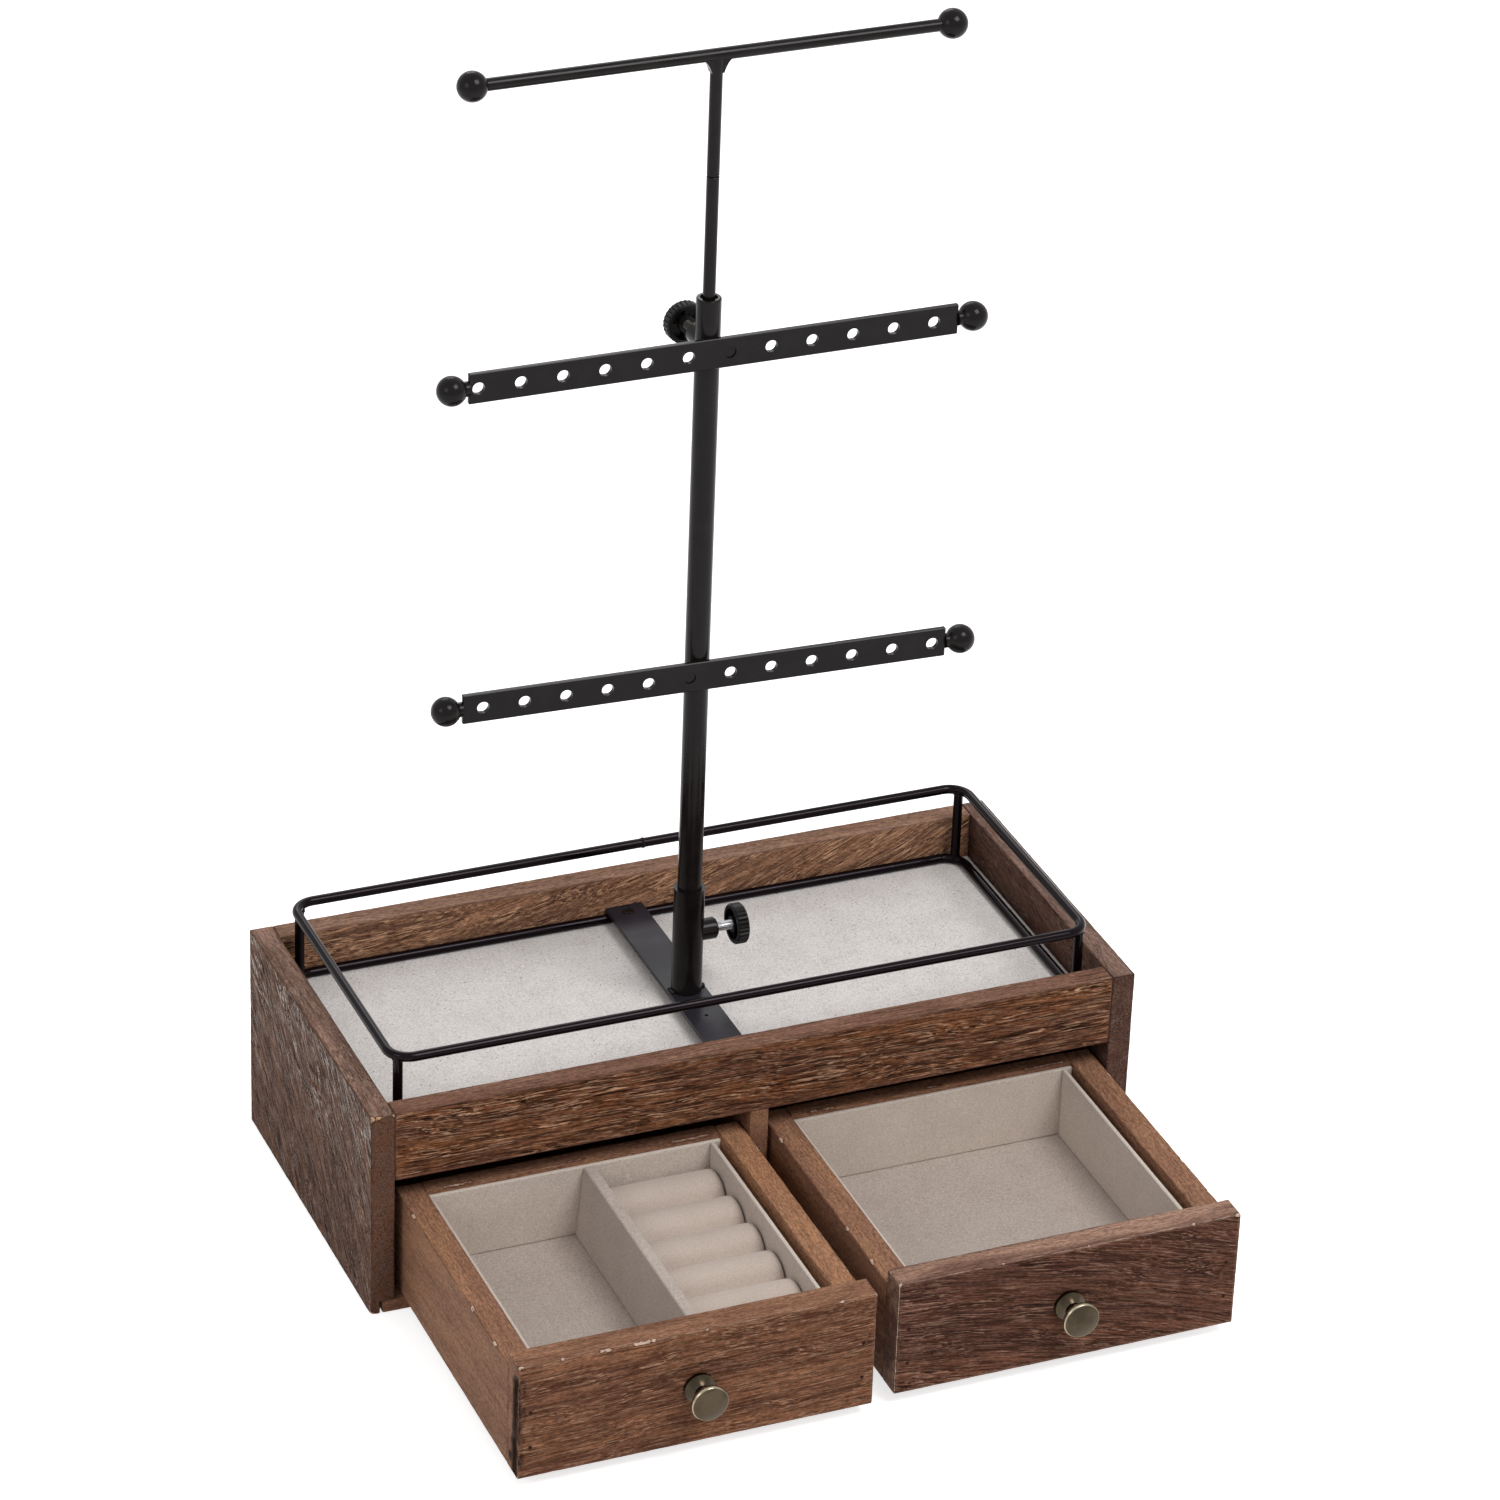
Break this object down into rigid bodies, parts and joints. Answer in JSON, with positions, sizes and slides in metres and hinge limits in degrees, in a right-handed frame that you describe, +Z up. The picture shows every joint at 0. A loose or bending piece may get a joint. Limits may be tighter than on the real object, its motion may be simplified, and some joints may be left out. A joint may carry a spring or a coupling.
{
  "type": "jewellery stand with drawers",
  "caption": "Table-top jewellery stand: lined wooden tray with a wire gallery over pull-out drawers, carrying a telescoping steel tree of earring bars and a T bar.",
  "frame": {"origin": "middle of the case's footprint on the table", "axes": "+X to the right along the case, +Y to the back away from the drawers' knobs, +Z up along the mast"},
  "size_m": [0.33, 0.2955, 0.496],
  "materials": {
    "panel_wood": "stained, rough sawn",
    "combed_wood": "stained, wire-brushed grain",
    "board_wood": "stained, sanded",
    "thin_board": "raw plywood",
    "tray_linen": "speckled linen",
    "drawer_lining": "brushed flannel",
    "ring_roll_fabric": "brushed flannel over foam",
    "black_steel": "satin black powder coat",
    "black_plastic": "satin moulded",
    "zinc": "zinc plated",
    "old_brass": "antique bronze, dull"
  },
  "bodies": {
    "case": {"left_end_panel": "panel_wood", "right_end_panel": "panel_wood", "front_rail": "combed_wood", "back_panel": "board_wood", "bottom_board": "board_wood", "centre_partition": "board_wood", "tray_deck": "board_wood", "tray_lining": "tray_linen", "gallery_lower_loop": "black_steel", "gallery_upper_loop": "black_steel", "gallery_posts": "black_steel", "cross_strap": "black_steel", "strap_screw": "black_steel", "socket_tube": "black_steel", "base_screw_boss": "black_steel"},
    "base_screw": {"base_screw_shank": "zinc", "base_screw_knob": "black_plastic"},
    "mast": {"mast_tube": "black_steel", "mast_guide_bush": "black_plastic", "mast_screw_boss": "black_steel", "lower_earring_bar": "black_steel", "lower_bar_balls": "black_steel", "upper_earring_bar": "black_steel", "upper_bar_balls": "black_steel"},
    "mast_screw": {"mast_screw_shank": "zinc", "mast_screw_knob": "black_plastic"},
    "t_rod": {"t_lower_rod": "black_steel"},
    "t_piece": {"t_upper_rod": "black_steel", "t_bar": "black_steel", "t_bar_balls": "black_steel"},
    "left_drawer": {"left_drawer_front": "combed_wood", "left_drawer_left_side": "board_wood", "left_drawer_right_side": "board_wood", "left_drawer_back": "thin_board", "left_drawer_floor": "thin_board", "left_drawer_lining_floor": "drawer_lining", "left_drawer_lining_walls": "drawer_lining", "left_drawer_divider": "drawer_lining", "left_drawer_ring_rolls": "ring_roll_fabric", "left_drawer_knob": "old_brass", "left_drawer_knob_screw": "zinc", "left_drawer_brads": "zinc"},
    "right_drawer": {"right_drawer_front": "combed_wood", "right_drawer_left_side": "board_wood", "right_drawer_right_side": "board_wood", "right_drawer_back": "thin_board", "right_drawer_floor": "thin_board", "right_drawer_lining_floor": "drawer_lining", "right_drawer_lining_walls": "drawer_lining", "right_drawer_knob": "old_brass", "right_drawer_knob_screw": "zinc", "right_drawer_brads": "zinc"}
  },
  "joints": [
    {"name": "left_drawer_slide", "type": "slide", "parent": "case", "child": "left_drawer", "axis": [0, -1, 0], "range_m": [-0.1295, 0.0075]},
    {"name": "right_drawer_slide", "type": "slide", "parent": "case", "child": "right_drawer", "axis": [0, -1, 0], "range_m": [-0.1269, 0.0101]},
    {"name": "mast_swivel", "type": "hinge", "parent": "case", "child": "mast", "pos_m": [-0.004, -0.005, 0.1], "axis": [0, 0, 1], "continuous": true},
    {"name": "base_screw_turn", "type": "hinge", "parent": "case", "child": "base_screw", "pos_m": [-0.004, -0.005, 0.1055], "axis": [1, 0, 0], "continuous": true},
    {"name": "mast_screw_turn", "type": "hinge", "parent": "mast", "child": "mast_screw", "pos_m": [-0.004, -0.005, 0.3705], "axis": [-0.0698, 0.9976, 0], "continuous": true},
    {"name": "t_height", "type": "slide", "parent": "mast", "child": "t_rod", "axis": [0, 0, 1], "range_m": [-0.09, 0.02]},
    {"name": "t_swivel", "type": "hinge", "parent": "t_rod", "child": "t_piece", "pos_m": [-0.004, -0.005, 0.4405], "axis": [0, 0, 1], "continuous": true}
  ]
}
